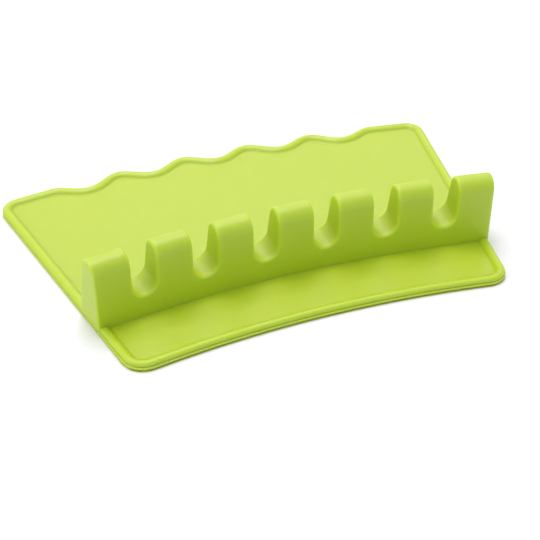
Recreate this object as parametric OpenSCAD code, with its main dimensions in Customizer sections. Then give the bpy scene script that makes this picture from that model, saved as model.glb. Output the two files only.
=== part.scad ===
// Spoon rest: one moulded silicone pad with a slotted ridge across it.
// The slots aim at one far point in front of the rest, so the ridge, the ledge and the
// tray behind it are all arcs about that point. It is the centre of the fan here.
// The pad's regions are separate solids that meet face to face.
// X runs to the right, Y to the back, and the pad stands on Z = 0.

/* [Fan] */
// Radius of the ridge's front face about the centre of the fan
fan_r = 624; // [450:1:900]
// Depth of the ledge in front of the ridge
ledge_d = 39.7; // [30:0.1:60]
// Depth from the ridge's front face to the tips of the tray's lobes
tray_d = 143; // [100:0.1:180]
// How far the dips between two lobes reach in from their tips
lobe_d = 8.8; // [2:0.1:12]
// Radius of the two corners at the back
back_corner_r = 11.5; // [8:0.5:20]
// Radius of the two corners at the front
front_corner_r = 12.5; // [8:0.5:20]

/* [Slots] */
// Width of a slot
slot_w = 14; // [10:0.5:18]
// Height of the bottom of a slot
slot_floor_h = 16.2; // [10:0.1:18]
// Lean of a slot's walls from upright, in degrees
slot_draft = 1.1; // [0.5:0.1:3]
// Width of a divider between two slots, at the ridge's front face
divider_w = 21.4; // [16:0.1:30]

/* [Ridge] */
// Height of the ridge
ridge_h = 43.5; // [36:0.5:50]
// Thickness of the ridge at the table
ridge_d = 22.9; // [21:0.1:30]
// Lean of the ridge's back face, in degrees
back_lean = 12.8; // [6:0.1:15]
// Wall round the hollow that runs under all the slots
ridge_wall = 3; // [2:0.1:3.5]
// Wall round the hollow in each divider
divider_wall = 3.6; // [2.5:0.1:4.5]

/* [Pad] */
// Thickness of the pad's floor
pad_t = 2.8; // [2:0.1:4]
// Height of the rim
rim_h = 5; // [4.5:0.1:6]
// Width of the rim from the outer edge to the floor
rim_w = 6; // [5:0.1:7]
// Radius of the rim's two upper edges
rim_r = 1.3; // [0.5:0.1:1.5]
// Lean of the rim's outer face from upright, in degrees
outer_lean = 3; // [0:1:10]
// Lean of the rim's inner face from upright, in degrees
inner_lean = 28; // [10:1:35]

/* [Hidden] */
slots = 6;
dividers = slots + 1;

lime = [0.74, 0.84, 0.27];
lime_deep = [0.66, 0.77, 0.20];

// How far a cut runs past what it cuts
overrun = 2;
// Segments of a full turn about the centre of the fan, and of a small rounding
fan_fn = 720;
round_fn = 48;
// Points along an edge of the rim, a corner, one lobe and the front edge's half
rim_steps = 6;
corner_steps = 12;
lobe_steps = 16;
front_steps = 12;

// Angles about the centre of the fan, clockwise from the Y axis
function arc_angle(length) = length / fan_r * 180 / PI;
pitch_a = arc_angle(slot_w + divider_w);
half_a = arc_angle(slots * slot_w + dividers * divider_w) / 2;
function slot_a(k) = (k - (slots + 1) / 2) * pitch_a;
function divider_a(k) = (k - (dividers + 1) / 2) * pitch_a;

front_r = fan_r - ledge_d;
tip_r = fan_r + tray_d;
seat_r = slot_w / 2;
seat_h = slot_floor_h + seat_r;

// Depth of the ridge's leaning back face at a height, and of its upright foot in the pad
function back_d(z) = ridge_d - z * tan(back_lean);
foot_d = back_d(rim_h);
foot_r = fan_r + foot_d;
// Radius of the ridge's top, which rounds over from its front face to its back face
top_r = (ridge_d - ridge_h * tan(back_lean)) / (1 + 1 / cos(back_lean) - tan(back_lean));

// Largest share of the step from the floor to the rim's top that its edge may round off
edge_share = 0.9;
crest_r = min(rim_r, edge_share * (rim_h - pad_t) / (1 - sin(inner_lean)));

// A direction, and a point on a circle, at a clockwise angle from the Y axis
function heading(a) = [sin(a), cos(a)];
function on_circle(centre, r, a) = centre + r * heading(a);

// The outline is a list of pairs: a point on the outer edge and the way out from there
function corner_a(r, centre_r) = half_a - asin(r / centre_r);
function corner(r, centre_r, from_a, to_a) =
    let (centre = on_circle([0, 0], centre_r, corner_a(r, centre_r)))
    [for (i = [0:corner_steps])
        let (a = from_a + (to_a - from_a) * i / corner_steps)
        [on_circle(centre, r, a), heading(a)]];
function side(r) = [on_circle([0, 0], r, half_a), heading(half_a + 90)];

// The lobes are a wave between the tips and the dips, in line with the slots.
// Behind the outermost slots the edge stays at the tips' radius.
wave_end_a = (slots - 1) / 2 * pitch_a;
function wave_a(a) = 360 * a / pitch_a;
function edge_r(a) = abs(a) > wave_end_a ? tip_r : tip_r - lobe_d * (1 + cos(wave_a(a))) / 2;
function edge_slope(a) = abs(a) > wave_end_a ? 0 : lobe_d * sin(wave_a(a)) * 180 / pitch_a;
function edge_out(a) =
    let (out = edge_r(a) * heading(a) - edge_slope(a) * heading(a + 90))
    out / norm(out);
function back_edge(a) = [on_circle([0, 0], edge_r(a), a), edge_out(a)];
function front_edge(a) = [on_circle([0, 0], front_r, a), -heading(a)];

function mirrored(half) = [for (i = [len(half) - 1:-1:0])
    [for (v = half[i]) [-v[0], v[1]]]];
function whole(half, middle) = concat(half, [middle], mirrored(half));

back_centre_r = tip_r - back_corner_r;
back_a = corner_a(back_corner_r, back_centre_r);
lobe_points = (slots - 1) / 2 * lobe_steps;
tray_half = concat(
    [side(foot_r)],
    corner(back_corner_r, back_centre_r, half_a + 90, back_a),
    [for (i = [lobe_points:-1:1]) back_edge(wave_end_a * i / lobe_points)]
);
tray_line = whole(tray_half, back_edge(0));

front_centre_r = front_r + front_corner_r;
front_a = corner_a(front_corner_r, front_centre_r);
ledge_half = concat(
    [side(fan_r)],
    corner(front_corner_r, front_centre_r, half_a + 90, front_a + 180),
    [for (i = [front_steps - 1:-1:1]) front_edge(front_a * i / front_steps)]
);
ledge_line = whole(ledge_half, front_edge(0));

// The origin is under the middle of the whole rest's box
low_y = front_centre_r * cos(front_a) - front_corner_r;
high_y = tip_r * cos(pitch_a / 2);
mid_y = (low_y + high_y) / 2;

// Section of the rim, as steps in from the outer edge and heights.
// Both faces lean towards the rounded top, and the floor meets the inner one.
function lean_in(rise, lean) = (crest_r + rise * sin(lean)) / cos(lean);
function rim_edge(x, from_a, to_a) =
    [for (i = [0:rim_steps])
        let (a = from_a + (to_a - from_a) * i / rim_steps)
        [x + crest_r * cos(a), rim_h - crest_r + crest_r * sin(a)]];
function rim_section() = concat(
    [[0, 0]],
    rim_edge(lean_in(rim_h - crest_r, outer_lean), 180 - outer_lean, 90),
    rim_edge(rim_w - lean_in(rim_h - crest_r - pad_t, inner_lean), 90, inner_lean),
    [[rim_w, pad_t], [rim_w, 0]]
);

// Moves a shape from the centre of the fan to the rest's own origin
module placed() {
    translate([0, -mid_y, 0]) children();
}

// Sweeps a profile of radii and heights between two angles about the centre of the fan
module sweep(from_a, to_a) {
    rotate([0, 0, 90 - to_a])
        rotate_extrude(angle = to_a - from_a, $fn = fan_fn)
            children();
}

// Profile of the ridge, or of the hollow that lies inset under its skin
module ridge_profile(inset) {
    centre = [fan_r + top_r, ridge_h - top_r];
    top_r_in = top_r - inset;
    foot_in = foot_r - inset;
    // The leaning face, moved in by the inset, meets the upright foot at this height
    lean_h = rim_h + inset * (1 - 1 / cos(back_lean)) / tan(back_lean);
    low = inset > 0 ? -overrun : 0;
    polygon(concat(
        [[foot_in, low], [fan_r + inset, low]],
        [for (i = [0:round_fn / 4])
            let (a = 180 + (back_lean - 180) * i * 4 / round_fn)
            centre + top_r_in * [cos(a), sin(a)]],
        [[foot_in, lean_h]]
    ));
}

// Keeps the part of a profile between two heights
module between(low, high) {
    intersection() {
        children();
        translate([0, low]) square([2 * fan_r, high - low]);
    }
}

// Round seat at the bottom of a slot
module seat(k) {
    rotate([0, 0, -slot_a(k)])
        translate([0, fan_r - overrun, seat_h])
            rotate([-90, -90, 0])
                cylinder(r = seat_r, h = ridge_d + 2 * overrun, $fn = round_fn);
}

// Upper part of a slot, between the walls that lean away from its seat
module slot(k) {
    high = ridge_h - seat_h + overrun;
    high_x = seat_r + high * tan(slot_draft);
    low_x = seat_r - overrun * tan(slot_draft);
    rotate([0, 0, -slot_a(k)])
        translate([0, fan_r + ridge_d + overrun, seat_h])
            rotate([90, 0, 0])
                linear_extrude(ridge_d + 2 * overrun)
                    polygon([[-low_x, -overrun], [low_x, -overrun], [high_x, high], [-high_x, high]]);
}

// Hollow that rises from below into a divider
module divider_hollow(k) {
    hollow_w = divider_w - 2 * divider_wall;
    rotate([0, 0, -divider_a(k)])
        intersection() {
            sweep(-pitch_a, pitch_a) ridge_profile(divider_wall);
            translate([-hollow_w / 2, fan_r, 0])
                cube([hollow_w, ridge_d, ridge_h]);
        }
}

// Hollow that runs under all the seats, from one end wall to the other
module bar_hollow() {
    end_a = half_a - arc_angle(ridge_wall);
    sweep(-end_a, end_a)
        between(-overrun, slot_floor_h - ridge_wall) ridge_profile(ridge_wall);
}

// Floor inside a rim, cut off outside two ends
module floor_slab(line, end_r) {
    first = side(end_r);
    points = concat([first], line, mirrored([first]));
    linear_extrude(pad_t)
        polygon([for (p = points) p[0] - rim_w * p[1]]);
}

// Rim along an outer edge
module rim(line) {
    section = rim_section();
    rings = len(line);
    sides = len(section);
    points = [for (p = line, s = section)
        let (spot = p[0] - s[0] * p[1])
        [spot[0], spot[1], s[1]]];
    skin = [for (i = [0:rings - 2], j = [0:sides - 1])
        let (a = i * sides, b = a + sides, n = (j + 1) % sides)
        each [[a + j, b + n, b + j], [a + j, a + n, b + n]]];
    start = [for (j = [sides - 1:-1:0]) j];
    end = [for (j = [0:sides - 1]) (rings - 1) * sides + j];
    polyhedron(points, concat(skin, [start, end]));
}

module drip_tray() {
    color(lime) placed()
        difference() {
            floor_slab(tray_line, foot_r - overrun);
            translate([0, 0, -overrun])
                cylinder(r = foot_r, h = pad_t + 2 * overrun, $fn = fan_fn);
        }
}

module front_ledge() {
    color(lime) placed()
        intersection() {
            floor_slab(ledge_line, fan_r / cos(half_a) + overrun);
            translate([0, 0, -overrun])
                cylinder(r = fan_r, h = pad_t + 2 * overrun, $fn = fan_fn);
        }
}

module tray_rim() {
    color(lime_deep) placed() rim(tray_line);
}

module ledge_rim() {
    color(lime_deep) placed() mirror([1, 0, 0]) rim(ledge_line);
}

module cradle_bar() {
    color(lime_deep) placed()
        difference() {
            sweep(-half_a, half_a) between(0, seat_h) ridge_profile(0);
            for (k = [1:slots]) seat(k);
            for (k = [1:dividers]) divider_hollow(k);
            bar_hollow();
        }
}

module divider(k) {
    left_a = max(slot_a(k - 1), -half_a);
    right_a = min(slot_a(k), half_a);
    color(lime_deep) placed()
        difference() {
            sweep(left_a, right_a) between(seat_h, ridge_h + overrun) ridge_profile(0);
            if (k > 1) slot(k - 1);
            if (k < dividers) slot(k);
            divider_hollow(k);
        }
}

drip_tray();
front_ledge();
tray_rim();
ledge_rim();
cradle_bar();
for (k = [1:dividers])
    divider(k);
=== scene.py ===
import math

import bpy
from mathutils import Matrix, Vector


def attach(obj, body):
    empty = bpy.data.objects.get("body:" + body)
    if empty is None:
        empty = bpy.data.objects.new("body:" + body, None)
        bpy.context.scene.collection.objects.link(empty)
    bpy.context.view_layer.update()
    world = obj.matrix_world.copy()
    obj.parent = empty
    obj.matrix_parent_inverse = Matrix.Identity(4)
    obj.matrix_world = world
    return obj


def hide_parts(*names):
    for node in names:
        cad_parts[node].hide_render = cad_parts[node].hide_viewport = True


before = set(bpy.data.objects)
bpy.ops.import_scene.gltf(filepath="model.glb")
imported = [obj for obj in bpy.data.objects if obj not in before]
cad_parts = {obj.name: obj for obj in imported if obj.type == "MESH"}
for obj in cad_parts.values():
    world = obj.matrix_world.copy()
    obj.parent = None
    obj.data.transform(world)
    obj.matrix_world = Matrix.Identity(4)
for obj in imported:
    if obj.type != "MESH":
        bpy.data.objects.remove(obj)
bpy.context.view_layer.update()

mm = 0.001


class Wire:                                # one output of a node, usable in sums and products
    def __init__(self, sheet, socket):
        self.sheet, self.socket = sheet, socket

    def math(self, operation, *others):
        values = dict(enumerate([self, *others]))
        return self.sheet.node("ShaderNodeMath", {"operation": operation}, values)

    def vector(self, operation, other=None, output="Vector"):
        values = {0: self, 1: other}
        return self.sheet.node("ShaderNodeVectorMath", {"operation": operation}, values, output)

    def __add__(self, other): return self.math("ADD", other)
    def __radd__(self, other): return self.math("ADD", other)
    def __sub__(self, other): return self.math("SUBTRACT", other)
    def __rsub__(self, other): return self.sheet.number(other).math("SUBTRACT", self)
    def __mul__(self, other): return self.math("MULTIPLY", other)
    def __rmul__(self, other): return self.math("MULTIPLY", other)
    def __truediv__(self, other): return self.math("DIVIDE", other)
    def __rtruediv__(self, other): return self.sheet.number(other).math("DIVIDE", self)
    def __neg__(self): return self.math("MULTIPLY", -1.0)
    def __abs__(self): return self.math("ABSOLUTE")
    def __gt__(self, other): return self.math("GREATER_THAN", other)

    def atLeast(self, other): return self.math("MAXIMUM", other)
    def atMost(self, other): return self.math("MINIMUM", other)
    def sin(self): return self.math("SINE")
    def cos(self): return self.math("COSINE")
    def root(self): return self.math("SQRT")


class Sheet:                               # a node tree under construction
    def __init__(self, tree):
        self.tree = tree

    def number(self, value):
        return self.node("ShaderNodeMath", {"operation": "ADD"}, {0: value, 1: 0.0})

    def node(self, kind, settings, values, output=None):
        made = self.tree.nodes.new(kind)   # settings come first: they decide which sockets are on
        for name, value in settings.items():
            setattr(made, name, value)
        for spot, value in values.items():
            if value is None:
                continue
            socket = made.inputs[spot] if isinstance(spot, int) else next(
                s for s in made.inputs if s.name == spot and s.enabled)
            if isinstance(value, Wire):
                self.tree.links.new(value.socket, socket)
            else:
                socket.default_value = value
        shown = [s for s in made.outputs if s.enabled]
        picked = next(s for s in shown if output in (None, s.name)) if shown else None
        return Wire(self, picked)


def hypot(a, b): return (a * a + b * b).root()


def choose(test, yes, no): return no + (yes - no) * test


def roundCut(a, b, radius):                # keeps what lies in both, with the edge between rounded
    return a.atLeast(b).atMost(-radius) + hypot((a + radius).atLeast(0.0), (b + radius).atLeast(0.0))


def roundJoin(a, b, radius):               # joins two, with a fillet in the corner between
    return -roundCut(-a, -b, radius)


# The moulding, in millimetres and degrees. A user changes these.
rest = {
    "slotCount": 6.0,                      # an even number, with a divider on each side of every slot
    "fanRadius": 624.0,                    # ridge's front face, about the point the slots aim at
    "ledgeDepth": 39.7,                    # from the ridge's front face to the front edge
    "trayDepth": 143.0,                    # from the ridge's front face to the lobes' tips
    "lobeDepth": 8.8,                      # from the lobes' tips to the valleys between them
    "backCorner": 11.5,
    "frontCorner": 12.5,
    "slotWidth": 14.0,
    "slotFloor": 16.2,                     # lowest point of a slot's round seat
    "slotDraft": 1.1,
    "dividerWidth": 21.4,
    "ridgeHeight": 43.5,
    "ridgeDepth": 22.9,                    # at the table
    "backLean": 12.8,
    "ridgeWall": 3.0,                      # round the hollow under the ridge
    "dividerWall": 3.6,
    "padThickness": 2.8,                   # floor of tray and ledge
    "rimHeight": 5.0,
    "rimWidth": 6.0,                       # at the floor
    "rimRound": 1.9,                       # upper edges of the rim
    "innerLean": 28.0,                     # inner face of the rim, from upright
    "rimFillet": 0.6,                      # between rim and floor
    "footFillet": 0.3,                     # between ridge and floor
    "slotRound": 1.6,                      # edges of the slots
    "endRound": 1.2,                       # edges of the ridge's two end faces
    "trayInset": 0.3,                      # how far the rim stands back over the lip
    "ledgeInset": 0.6,
    "partHeight": 2.5,                     # groove between rim and lip, where the mould parted
    "partHalf": 0.35,
    "partDepth": 0.8,
    "footHeight": 0.75,                    # groove under the lip
    "footHalf": 0.45,
    "footDepth": 1.8,
    "hollowRound": 1.5,                    # edges of the hollow under the ridge
}


# How finely the skin is sampled: steps in millimetres, small where the form bends and long on the flats
steps = {
    "side": 0.65, "slotWall": 0.67, "seat": 1.2, "divider": 2.6,
    "ledgeRim": 0.62, "ledge": 4.4, "ridgeFront": 0.5, "ridge": 1.15, "tray": 6.0, "trayRim": 0.8,
    "under": 0.3, "pad": 0.15, "rim": 0.3, "slots": 1.65, "crown": 1.0,
}


def samplingFor(s):                        # for each of three ways, the places from which each step holds
    # Across is measured along the ridge's front face, out from that face, and up from the table.
    # Each place stands a little clear of the edge that it is for, and the last one ends the way.
    spacing = s["slotWidth"] + s["dividerWidth"]
    half = s["slotCount"] / 2 * spacing + s["dividerWidth"] / 2
    rimStart = half - s["rimWidth"] - 0.4
    across = [(-half - 2.1, "side"), (-rimStart, "divider")]
    for count in range(int(s["slotCount"])):
        middle = (count + 0.5 - s["slotCount"] / 2) * spacing
        seat, edge = s["slotWidth"] / 2 - 1.5, s["slotWidth"] / 2 + 2.5
        across += [(middle - edge, "slotWall"), (middle - seat, "seat")]
        across += [(middle + seat, "slotWall"), (middle + edge, "divider")]
    across += [(rimStart, "side"), (half + 2.1, None)]
    valley = s["trayDepth"] - s["lobeDepth"]
    out = [
        (-s["ledgeDepth"] - 2.6, "ledgeRim"), (-s["ledgeDepth"] + s["rimWidth"] + 0.7, "ledge"),
        (-2.0, "ridgeFront"), (2.0, "ridge"), (s["ridgeDepth"] + 5.1, "tray"),
        (valley - s["rimWidth"] - 2.2, "trayRim"), (s["trayDepth"] + 2.5, None)]
    up = [
        (-0.9, "under"), (0.0, "pad"), (s["padThickness"] + 0.2, "rim"), (s["rimHeight"] + 0.4, "slots"),
        (s["ridgeHeight"] - 8.5, "crown"), (s["ridgeHeight"] + 1.5, None)]
    return {"across": across, "out": out, "up": up}


sampling = samplingFor(rest)


def fanMiddle(s):                          # how far the fan's centre lies in front of the rest's middle
    cornerRadius = s["fanRadius"] - s["ledgeDepth"] + s["frontCorner"]
    pitch = (s["slotWidth"] + s["dividerWidth"]) / s["fanRadius"]
    halfTurn = s["slotCount"] / 2 * pitch + s["dividerWidth"] / 2 / s["fanRadius"]
    cornerTurn = halfTurn - math.asin(s["frontCorner"] / cornerRadius)
    low = cornerRadius * math.cos(cornerTurn) - s["frontCorner"]
    high = (s["fanRadius"] + s["trayDepth"]) * math.cos(pitch / 2)
    return (low + high) / 2


def restDistance(place, s):                # how far a place lies outside the rest's skin
    sheet = place.sheet
    split = lambda axis: sheet.node("ShaderNodeSeparateXYZ", {}, {0: place}, axis)
    x, y, z = split("X"), split("Y") + fanMiddle(rest), split("Z")
    radius = hypot(x, y)
    out = radius - s["fanRadius"]
    turn = x.math("ARCTAN2", y)
    pitch = (s["slotWidth"] + s["dividerWidth"]) / s["fanRadius"]
    halfCount = s["slotCount"] * 0.5
    halfTurn = pitch * halfCount + s["dividerWidth"] / s["fanRadius"] * 0.5

    def across(axisTurn):                  # distance from a line of the fan
        return abs(x * axisTurn.cos() - y * axisTurn.sin())

    # Outline: straight sides, an arc in front, lobes in line with the slots behind
    side = abs(x) * halfTurn.cos() - y * halfTurn.sin()
    tip = s["fanRadius"] + s["trayDepth"]
    waves = turn / pitch * (2 * math.pi)
    lobed = pitch * (halfCount - 0.5) > abs(turn)
    edge = tip - s["lobeDepth"] * 0.5 * (1.0 + waves.cos()) * lobed
    slope = s["lobeDepth"] * math.pi * waves.sin() / (pitch * radius) * lobed
    back = (radius - edge) / (1.0 + slope * slope).root()
    front = s["fanRadius"] - s["ledgeDepth"] - radius
    corner = choose(radius > s["fanRadius"], s["backCorner"], s["frontCorner"])
    outline = roundCut(side, back.atLeast(front), corner)

    def groove(name):                      # how deep a groove round the outer side is at this height
        return s[name + "Depth"] * (1.0 - abs(z - s[name + "Height"]) / s[name + "Half"]).atLeast(0.0)

    # Pad: a flat floor inside a rim, which stands back over a lip
    innerLean = s["innerLean"] * (math.pi / 180)
    inner = (z - s["padThickness"]) * innerLean.sin() - (outline + s["rimWidth"]) * innerLean.cos()
    inset = choose(out > s["ridgeDepth"] * 0.5, s["trayInset"], s["ledgeInset"])
    rim = roundCut(roundCut(outline + inset, z - s["rimHeight"], s["rimRound"]), inner, s["rimRound"])
    outer = outline + groove("part") + inset * (z > s["partHeight"])
    pad = roundJoin(z - s["padThickness"], rim, s["rimFillet"]).atLeast(outer)

    # Ridge: upright in front, leaning behind, with a fully rounded top
    lean = s["backLean"] * (math.pi / 180)
    topRound = ((s["ridgeDepth"] - s["ridgeHeight"] * lean.math("TANGENT"))
                / (1.0 + 1.0 / lean.cos() - lean.math("TANGENT")))
    over, beyond = z - s["ridgeHeight"] + topRound, out - topRound
    faces = (-out).atLeast((out - s["ridgeDepth"]) * lean.cos() + z * lean.sin())
    crowned = over.atMost(over * lean.cos() - beyond * lean.sin()) > 0.0
    profile = choose(crowned, hypot(beyond, over) - topRound, faces)

    # Slots: a round seat between walls that lean apart
    slotTurn = ((turn / pitch).math("FLOOR").atLeast(-halfCount).atMost(halfCount - 1.0) + 0.5) * pitch
    draft = s["slotDraft"] * (math.pi / 180)
    aside, rise = across(slotTurn), z - s["slotFloor"] - s["slotWidth"] * 0.5
    walls = aside * draft.cos() - rise * draft.sin()
    slot = choose(rise * draft.cos() + aside * draft.sin() > 0.0, walls, hypot(aside, rise))
    slot = slot - s["slotWidth"] * 0.5
    ridge = roundCut(roundCut(profile, -slot, s["slotRound"]), side, s["endRound"])
    body = roundJoin(pad, ridge, s["footFillet"])
    body = body.atLeast(outline + groove("part") + groove("foot")).atLeast(-z)

    # Hollow under the ridge, which rises into each divider
    dividerTurn = (turn / pitch).math("ROUND").atLeast(-halfCount).atMost(halfCount) * pitch
    roof = z - s["slotFloor"] + s["ridgeWall"]
    wall = choose(roof > 0.0, s["dividerWall"], s["ridgeWall"])
    pocket = across(dividerTurn) - s["dividerWidth"] * 0.5 + s["dividerWall"]
    within = roundCut(profile + wall, side + s["ridgeWall"], s["hollowRound"])
    hollow = roundCut(within, roundJoin(roof, pocket, s["hollowRound"]), s["hollowRound"])
    return roundCut(body, -hollow, s["hollowRound"])


def stretches(way):                        # start, end and whole steps of each stretch
    places = sampling[way]
    pairs = zip(places, places[1:])
    return [(start, end, round((end - start) / steps[name])) for (start, name), (end, _) in pairs]


def unfold(index, way):                    # from a count of steps to millimetres along one way
    total, first = sampling[way][0][0], 0
    for start, end, count in stretches(way):
        done = (index - float(first)).atLeast(0.0).atMost(float(count))
        total = done * ((end - start) / count) + total
        first += count
    return total


def newTree(name, inputs, outputs):
    tree = bpy.data.node_groups.new(name, "GeometryNodeTree")
    for way, sockets in (("INPUT", inputs), ("OUTPUT", outputs)):
        for label, kind in sockets:
            tree.interface.new_socket(name=label, in_out=way, socket_type="NodeSocket" + kind)
    return tree, Sheet(tree)


def distanceGroup():                       # the rest's skin as a group of nodes
    sizes = [(name, "Float") for name in rest]
    tree, sheet = newTree("restDistance", [("Place", "Vector")] + sizes, [("Distance", "Float")])
    given = tree.nodes.new("NodeGroupInput")
    wires = {socket.name: Wire(sheet, socket) for socket in given.outputs if socket.name}
    sheet.node("NodeGroupOutput", {}, {"Distance": restDistance(wires["Place"], wires)})
    return tree


reach = 0.04                               # how far to each side the slope is measured, in millimetres
passes = 3                                 # how often the points are moved onto the skin


def mouldTree():                           # samples the skin, then draws the mesh tight on it
    sizes = [(name, "Float") for name in rest]
    tree, sheet = newTree("mouldedRest", [("Silicone", "Material")] + sizes, [("Geometry", "Geometry")])
    given = tree.nodes.new("NodeGroupInput")
    wires = {socket.name: Wire(sheet, socket) for socket in given.outputs if socket.name}
    group = distanceGroup()

    def distance(place):
        values = {name: wires[name] for name in rest}
        return sheet.node("GeometryNodeGroup", {"node_tree": group}, {"Place": place, **values})

    def position():
        return sheet.node("GeometryNodeInputPosition", {}, {})

    def slopeAt(place):                    # which way the distance grows
        ways = []
        for way in ((reach, 0, 0), (0, reach, 0), (0, 0, reach)):
            ahead, behind = place.vector("ADD", way), place.vector("SUBTRACT", way)
            ways.append((distance(ahead) - distance(behind)) / (2 * reach))
        return sheet.node("ShaderNodeCombineXYZ", {}, dict(enumerate(ways)))

    def onFan(cell):                       # a cell's place in millimetres
        split = [sheet.node("ShaderNodeSeparateXYZ", {}, {0: cell}, axis) for axis in "XYZ"]
        turn = unfold(split[0], "across") / wires["fanRadius"]
        radius = unfold(split[1], "out") + wires["fanRadius"]
        spot = [radius * turn.sin(), radius * turn.cos() - fanMiddle(rest), unfold(split[2], "up")]
        return sheet.node("ShaderNodeCombineXYZ", {}, dict(enumerate(spot)))

    def moved(skin, place):
        return sheet.node("GeometryNodeSetPosition", {}, {"Geometry": skin, "Position": place})

    cells = [sum(count for _, _, count in stretches(way)) for way in sampling]
    block = sheet.node("GeometryNodeVolumeCube", {}, {
        "Density": 1.0 - distance(onFan(position())), "Background": 0.0,
        "Min": (0.0, 0.0, 0.0), "Max": [float(n) for n in cells],
        "Resolution X": cells[0] + 1, "Resolution Y": cells[1] + 1, "Resolution Z": cells[2] + 1})
    skin = sheet.node("GeometryNodeVolumeToMesh", {"resolution_mode": "GRID"}, {
        "Volume": block, "Threshold": 1.0})  # where the distance is nothing
    skin = moved(skin, onFan(position()))
    for _ in range(passes):                # each pass moves the points along the slope onto the skin
        slope = slopeAt(position())
        share = distance(position()) / slope.vector("DOT_PRODUCT", slope, "Value")
        shares = sheet.node("ShaderNodeCombineXYZ", {}, {0: share, 1: share, 2: share})
        skin = moved(skin, position().vector("SUBTRACT", slope.vector("MULTIPLY", shares)))
    stored = {"data_type": "FLOAT_VECTOR", "domain": "POINT"}
    skin = sheet.node("GeometryNodeStoreNamedAttribute", stored, {
        "Geometry": skin, "Name": "skinNormal", "Value": slopeAt(position()).vector("NORMALIZE")})
    skin = moved(skin, position().vector("MULTIPLY", (mm, mm, mm)))
    skin = sheet.node("GeometryNodeSetShadeSmooth", {}, {"Geometry": skin, "Shade Smooth": True})
    skin = sheet.node("GeometryNodeRealizeInstances", {}, {"Geometry": skin})
    skin = sheet.node("GeometryNodeSetMaterial", {}, {"Geometry": skin, "Material": wires["Silicone"]})
    sheet.node("NodeGroupOutput", {}, {"Geometry": skin})
    return tree


def meshFromTree(name, tree, inputs):
    holder = bpy.data.objects.new(name, bpy.data.meshes.new(name))
    bpy.context.scene.collection.objects.link(holder)
    modifier = holder.modifiers.new("form", "NODES")
    modifier.node_group = tree
    for socket in tree.interface.items_tree:
        if socket.in_out == "INPUT" and socket.name in inputs:
            modifier[socket.identifier] = inputs[socket.name]
    evaluated = holder.evaluated_get(bpy.context.evaluated_depsgraph_get())
    mesh = bpy.data.meshes.new_from_object(evaluated)
    holder.modifiers.clear()
    holder.data = mesh
    return holder


# Lime silicone: satin, a little uneven, faintly clouded by its pigment
silicone = {
    "colour": (0.435, 0.555, 0.010),
    "cloud": (0.42, 0.545, 0.008),
    "cloudNoise": (55.0, 3.0),             # scale and detail of the noise: a larger scale is finer
    "roughness": 0.48,
    "roughnessSpread": 0.07,
    "roughnessNoise": (220.0, 4.0),
    "grainNoise": (2600.0, 2.0),
    "grainHeight": 0.00001,
    "refraction": 1.5,
    "shine": 0.8,
    "glow": 1.0,                           # light that travels under the skin
    "glowDepth": 0.005,
    "glowSpread": (0.8, 1.0, 0.1),         # how far red, green and blue get
}


def limeSilicone():
    look = silicone
    material = bpy.data.materials.new("limeSilicone")
    material.use_nodes = True
    tree = material.node_tree
    tree.nodes.clear()
    sheet = Sheet(tree)
    place = sheet.node("ShaderNodeTexCoord", {}, {}, "Object")

    def noise(size, detail):
        return sheet.node("ShaderNodeTexNoise", {}, {"Vector": place, "Scale": size, "Detail": detail})

    colour = sheet.node("ShaderNodeMix", {"data_type": "RGBA"}, {
        "Factor": noise(*look["cloudNoise"]), "A": (*look["colour"], 1.0), "B": (*look["cloud"], 1.0)})
    roughness = look["roughness"] + (noise(*look["roughnessNoise"]) - 0.5) * look["roughnessSpread"]
    bump = sheet.node("ShaderNodeBump", {}, {
        "Height": noise(*look["grainNoise"]), "Distance": look["grainHeight"], "Strength": 1.0})
    surface = sheet.node("ShaderNodeBsdfPrincipled", {"subsurface_method": "RANDOM_WALK"}, {
        "Base Color": colour, "Roughness": roughness, "Normal": bump,
        "Subsurface Weight": look["glow"], "Subsurface Radius": look["glowSpread"],
        "Subsurface Scale": look["glowDepth"],
        "IOR": look["refraction"], "Specular IOR Level": look["shine"]})
    sheet.node("ShaderNodeOutputMaterial", {}, {"Surface": surface})
    print("silicone: material made")
    return material


def buildRest():
    moulding = meshFromTree("siliconeRest", mouldTree(), {"Silicone": limeSilicone(), **rest})
    mesh = moulding.data
    normals = [tuple(item.vector) for item in mesh.attributes["skinNormal"].data]
    mesh.normals_split_custom_set_from_vertices(normals)
    mesh.attributes.remove(mesh.attributes["skinNormal"])
    print("rest:", len(mesh.vertices), "points,", len(mesh.polygons), "faces")
    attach(moulding, "root")
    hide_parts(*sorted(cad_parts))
    return moulding


# Studio: the photograph's camera, a pale table and soft light
camera = {
    "place": (-0.2084, -0.5393, 0.3902),
    "yaw": 0.3733,                         # turn to the right of the Y axis, in radians
    "pitch": 0.6251,                       # look down, in radians
    "lens": 78.70,                         # in millimetres, on film of the width below
    "film": 36.0,
    "farEnd": 50.0,
}
studio = {
    "tableColour": (0.82, 0.82, 0.82),
    "tableRoughness": 0.9,
    "tableShine": 0.1,
    "tableSize": 8.0,
    "aim": (0.0, 0.0, 0.02),               # where all lamps point
    "sky": 0.72,
    "skyColour": (0.95, 1.05, 0.95),
    "lamps": {                             # place, width, depth, power and colour of each soft box
        "above": ((0.0, 0.25, 1.22), 0.65, 0.65, 8.7, (1.07, 0.9, 1.15)),
        "behind": ((0.5, 1.3, 0.95), 1.4, 0.8, 3.7, (1.04, 0.93, 1.2)),
        "left": ((-1.25, 0.1, 0.65), 0.9, 0.8, 3.9, (1.0, 1.0, 1.0)),
        "front": ((-0.3, -1.0, 1.1), 0.8, 0.8, 0.6, (1.0, 1.0, 1.0)),
    },
}


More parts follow.
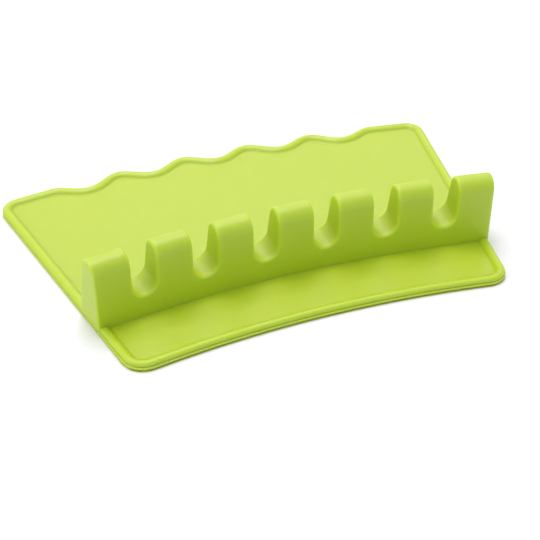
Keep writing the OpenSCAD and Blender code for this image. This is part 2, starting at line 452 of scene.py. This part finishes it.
def addCamera():
    data = bpy.data.cameras.new("camera")
    data.lens, data.sensor_width, data.clip_end = camera["lens"], camera["film"], camera["farEnd"]
    spot = bpy.data.objects.new("camera", data)
    yaw, pitch = camera["yaw"], camera["pitch"]
    ahead = Vector((math.sin(yaw) * math.cos(pitch), math.cos(yaw) * math.cos(pitch), -math.sin(pitch)))
    spot.location = camera["place"]
    spot.rotation_euler = ahead.to_track_quat("-Z", "Y").to_euler()
    bpy.context.scene.collection.objects.link(spot)
    bpy.context.scene.camera = spot


def addTable():
    half = studio["tableSize"] / 2
    mesh = bpy.data.meshes.new("table")
    corners = [(-half, -half, 0), (half, -half, 0), (half, half, 0), (-half, half, 0)]
    mesh.from_pydata(corners, [], [(0, 1, 2, 3)])
    material = bpy.data.materials.new("paleTable")
    material.use_nodes = True
    surface = material.node_tree.nodes["Principled BSDF"]
    surface.inputs["Base Color"].default_value = (*studio["tableColour"], 1.0)
    surface.inputs["Roughness"].default_value = studio["tableRoughness"]
    surface.inputs["Specular IOR Level"].default_value = studio["tableShine"]
    mesh.materials.append(material)
    table = bpy.data.objects.new("table", mesh)
    bpy.context.scene.collection.objects.link(table)


def addLamp(name, place, width, depth, power, colour):
    data = bpy.data.lights.new(name, "AREA")
    data.color = colour
    data.shape, data.size, data.size_y, data.energy = "RECTANGLE", width, depth, power
    lamp = bpy.data.objects.new(name, data)
    lamp.location = place
    lamp.rotation_euler = (Vector(studio["aim"]) - Vector(place)).to_track_quat("-Z", "Y").to_euler()
    bpy.context.scene.collection.objects.link(lamp)


def addStudio():
    world = bpy.data.worlds.new("studio")
    bpy.context.scene.world = world
    world.use_nodes = True
    sky = world.node_tree.nodes["Background"]
    sky.inputs["Color"].default_value = (*studio["skyColour"], 1.0)
    sky.inputs["Strength"].default_value = studio["sky"]
    for name, lamp in studio["lamps"].items():
        addLamp(name, *lamp)
    bpy.context.scene.view_settings.view_transform = "Standard"


addCamera()
addTable()
addStudio()
print("studio: camera, table and light")
buildRest()
